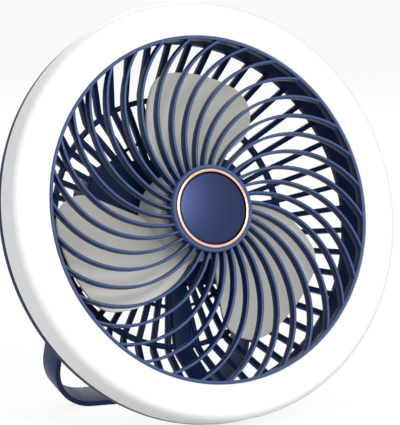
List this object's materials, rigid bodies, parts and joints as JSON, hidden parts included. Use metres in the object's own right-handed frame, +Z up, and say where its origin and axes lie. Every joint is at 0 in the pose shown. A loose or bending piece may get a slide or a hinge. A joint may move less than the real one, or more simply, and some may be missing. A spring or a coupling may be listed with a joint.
{
  "type": "portable camping fan",
  "caption": "Round battery fan with a ring light round its grille, a rear battery case and a folding bail that props it up or hangs it.",
  "frame": {"origin": "centre of the bounding box at floor level, with the fan standing on its rear rim and its bail", "axes": "+X to the right as the fan is faced, +Y backward, +Z up; the fan's axis leans back 18.3 degrees"},
  "size_m": [0.23, 0.1232, 0.2272],
  "materials": {
    "diffuser_white": "frosted",
    "board": "satin",
    "chip": "gloss",
    "navy": "gloss",
    "screw_steel": "satin",
    "screw_steel_dark": "satin",
    "gold": "polished",
    "hub_blue": "satin",
    "cell": "satin",
    "black_plastic": "matt",
    "guide": "gloss",
    "socket_steel": "satin",
    "button": "gloss",
    "brass": "machined",
    "bearing_steel": "ground",
    "core_steel": "stamped",
    "copper": "enamelled",
    "magnet": "matt",
    "blade_grey": "satin",
    "bail_navy": "satin",
    "washer": "waxy"
  },
  "bodies": {
    "fan_body": {"light_diffuser": "diffuser_white", "led_board": "board", "led_chips": "chip", "duct_ring": "navy", "rear_shell": "navy", "ring_screws": "screw_steel", "front_grille": "navy", "hub_trim_ring": "gold", "hub_cap": "hub_blue", "rear_grille": "navy", "battery_case": "navy", "battery_cells": "cell", "control_board": "board", "press_switches": "black_plastic", "indicator_leds": "chip", "light_guide": "guide", "usb_socket": "socket_steel", "case_cover": "navy", "cover_screws": "screw_steel", "bearing_sleeve": "brass", "ball_bearings": "bearing_steel", "stator_core": "core_steel", "stator_coils": "copper", "motor_board": "board", "pivot_screws": "screw_steel_dark", "friction_washers": "washer"},
    "impeller": {"impeller": "blade_grey", "rotor_cup": "core_steel", "magnet_ring": "magnet", "motor_shaft": "bearing_steel", "shaft_clip": "black_plastic"},
    "bail": {"bail": "bail_navy"},
    "fan_button": {"fan_button": "button"},
    "light_button": {"light_button": "button"}
  },
  "joints": [
    {"name": "impeller_spin", "type": "hinge", "parent": "fan_body", "child": "impeller", "pos_m": [0, -0.00538, 0.10959], "axis": [0, 0.9692, -0.2463], "continuous": true},
    {"name": "stand_pivot", "type": "hinge", "parent": "fan_body", "child": "bail", "pos_m": [0, 0.02557, 0.08439], "axis": [1, 0, 0], "range_deg": [-32.8, 147.2]},
    {"name": "fan_button_press", "type": "slide", "parent": "fan_body", "child": "fan_button", "axis": [0, -0.9692, 0.2463], "range_m": [0, 0.0008], "stiffness_N_per_m": 300, "springref_m": -0.001},
    {"name": "light_button_press", "type": "slide", "parent": "fan_body", "child": "light_button", "axis": [0, -0.9692, 0.2463], "range_m": [0, 0.0008], "stiffness_N_per_m": 300, "springref_m": -0.001}
  ]
}
